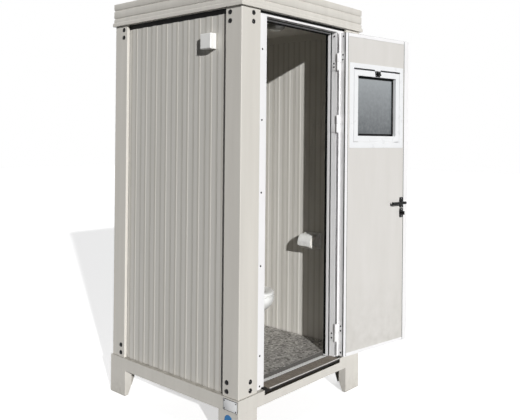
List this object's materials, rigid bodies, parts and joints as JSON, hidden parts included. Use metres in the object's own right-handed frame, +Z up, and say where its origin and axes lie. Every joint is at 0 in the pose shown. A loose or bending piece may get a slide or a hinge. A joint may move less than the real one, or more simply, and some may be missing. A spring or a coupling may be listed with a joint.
{
  "type": "portable toilet cabin",
  "caption": "Portable toilet cabin on raised legs with pressed corner posts, ribbed sandwich walls, a hinged door with a tilting window, and a toilet inside.",
  "frame": {"origin": "on the ground under the middle of the base frame", "axes": "+Z up, -Y out of the doorway, +X to the right seen from outside the door"},
  "size_m": [1.6606, 1.3579, 2.59],
  "materials": {
    "painted_steel": "semi-gloss",
    "wall_sheet": "satin",
    "roof_steel": "semi-gloss",
    "dark_steel": "satin",
    "frame_aluminium": "satin",
    "door_sheet": "satin",
    "tread_aluminium": "ribbed",
    "zinc_steel": "zinc plated",
    "black_bolt": "black",
    "black_plastic": "matt",
    "floor_vinyl": "speckled",
    "floor_wood": "board",
    "window_plastic": "satin",
    "window_glass": "clear",
    "white_plastic": "gloss",
    "ceramic": "glazed",
    "grey_plastic": "matt",
    "lamp_plastic": "opal",
    "paper": "soft",
    "box_plastic": "matt",
    "chrome": "polished"
  },
  "bodies": {
    "cabin": {"leg_front_left": "painted_steel", "leg_front_right": "painted_steel", "leg_rear_left": "painted_steel", "leg_rear_right": "painted_steel", "base_frame": "painted_steel", "post_front_left": "painted_steel", "post_front_right": "painted_steel", "post_rear_left": "painted_steel", "post_rear_right": "painted_steel", "wall_panel_left": "wall_sheet", "wall_panel_right": "wall_sheet", "wall_panel_rear": "wall_sheet", "front_infills": "wall_sheet", "fascia_front": "roof_steel", "fascia_rear": "roof_steel", "fascia_left": "roof_steel", "fascia_right": "roof_steel", "roof_panel": "roof_steel", "roof_frame": "dark_steel", "sill_plate": "dark_steel", "jamb_left": "frame_aluminium", "jamb_right": "frame_aluminium", "door_head": "frame_aluminium", "threshold_strip": "tread_aluminium", "hinge_frame_leaves": "zinc_steel", "strike_plate": "zinc_steel", "post_bolts": "black_bolt", "floor_covering": "floor_vinyl", "floor_board": "floor_wood", "cistern": "white_plastic", "paper_holder": "white_plastic", "flush_pipe": "white_plastic", "lamp_base": "white_plastic", "toilet_pan": "ceramic", "waste_pipe": "grey_plastic", "water_pipe": "grey_plastic", "lamp_diffuser": "lamp_plastic", "junction_box": "box_plastic", "junction_box_lid": "box_plastic", "seat_hinges": "chrome"},
    "door": {"door_hinge_stile": "frame_aluminium", "door_lock_stile": "frame_aluminium", "door_cross_rails": "frame_aluminium", "door_panel": "door_sheet", "window_frame": "window_plastic", "hinge_door_leaves": "zinc_steel", "lock_case": "zinc_steel", "escutcheons": "black_plastic"},
    "levers": {"lever_handles": "black_plastic"},
    "latch": {"latch_bolt": "zinc_steel"},
    "turn": {"thumb_turn": "chrome"},
    "bolt": {"dead_bolt": "zinc_steel"},
    "sash": {"sash_frame": "window_plastic", "window_glass": "window_glass", "window_catch": "black_plastic"},
    "catch": {"catch_slider": "black_plastic"},
    "seat": {"toilet_seat": "white_plastic"},
    "button": {"flush_button": "chrome"},
    "cover": {"paper_cover": "white_plastic"},
    "roll": {"paper_roll": "paper"}
  },
  "joints": [
    {"name": "door_hinge", "type": "hinge", "parent": "cabin", "child": "door", "pos_m": [0.351, -0.571, 1.245], "axis": [0, 0, 1], "range_deg": [-171.2, 0]},
    {"name": "lever_turn", "type": "hinge", "parent": "door", "child": "levers", "pos_m": [0.95228, -0.68736, 1.252], "axis": [-0.153, -0.9882, 0], "range_deg": [0, 28], "stiffness_Nm_per_rad": 1.6, "springref_deg": -20.05},
    {"name": "latch_slide", "type": "slide", "parent": "door", "child": "latch", "axis": [0.9882, -0.153, 0], "range_m": [-0.009, 0]},
    {"name": "thumb_turn", "type": "hinge", "parent": "door", "child": "turn", "pos_m": [0.95228, -0.68736, 1.178], "axis": [-0.153, -0.9882, 0], "range_deg": [0, 90]},
    {"name": "bolt_slide", "type": "slide", "parent": "door", "child": "bolt", "axis": [0.9882, -0.153, 0], "range_m": [0, 0.016]},
    {"name": "sash_tilt", "type": "hinge", "parent": "door", "child": "sash", "pos_m": [0.68496, -0.66722, 1.691], "axis": [0.9882, -0.153, 0], "range_deg": [0, 30]},
    {"name": "catch_slide", "type": "slide", "parent": "sash", "child": "catch", "axis": [0, 0, -1], "range_m": [0, 0.006], "stiffness_N_per_m": 300, "springref_m": -0.004},
    {"name": "seat_lift", "type": "hinge", "parent": "cabin", "child": "seat", "pos_m": [0.045, 0.211, 0.665], "axis": [-1, 0, 0], "range_deg": [0, 88]},
    {"name": "flush_press", "type": "slide", "parent": "cabin", "child": "button", "axis": [0, 0, -1], "range_m": [0, 0.006], "stiffness_N_per_m": 300, "springref_m": -0.004},
    {"name": "cover_lift", "type": "hinge", "parent": "cabin", "child": "cover", "pos_m": [0.51, -0.252, 1.0245], "axis": [0, 1, 0], "range_deg": [0, 75]},
    {"name": "roll_spin", "type": "hinge", "parent": "cabin", "child": "roll", "pos_m": [0.468, -0.252, 0.967], "axis": [0, 1, 0], "continuous": true}
  ],
  "couplings": [
    {"joint": "latch_slide", "follows": "lever_turn", "m_per_rad": -0.018417},
    {"joint": "bolt_slide", "follows": "thumb_turn", "m_per_rad": 0.010186}
  ]
}
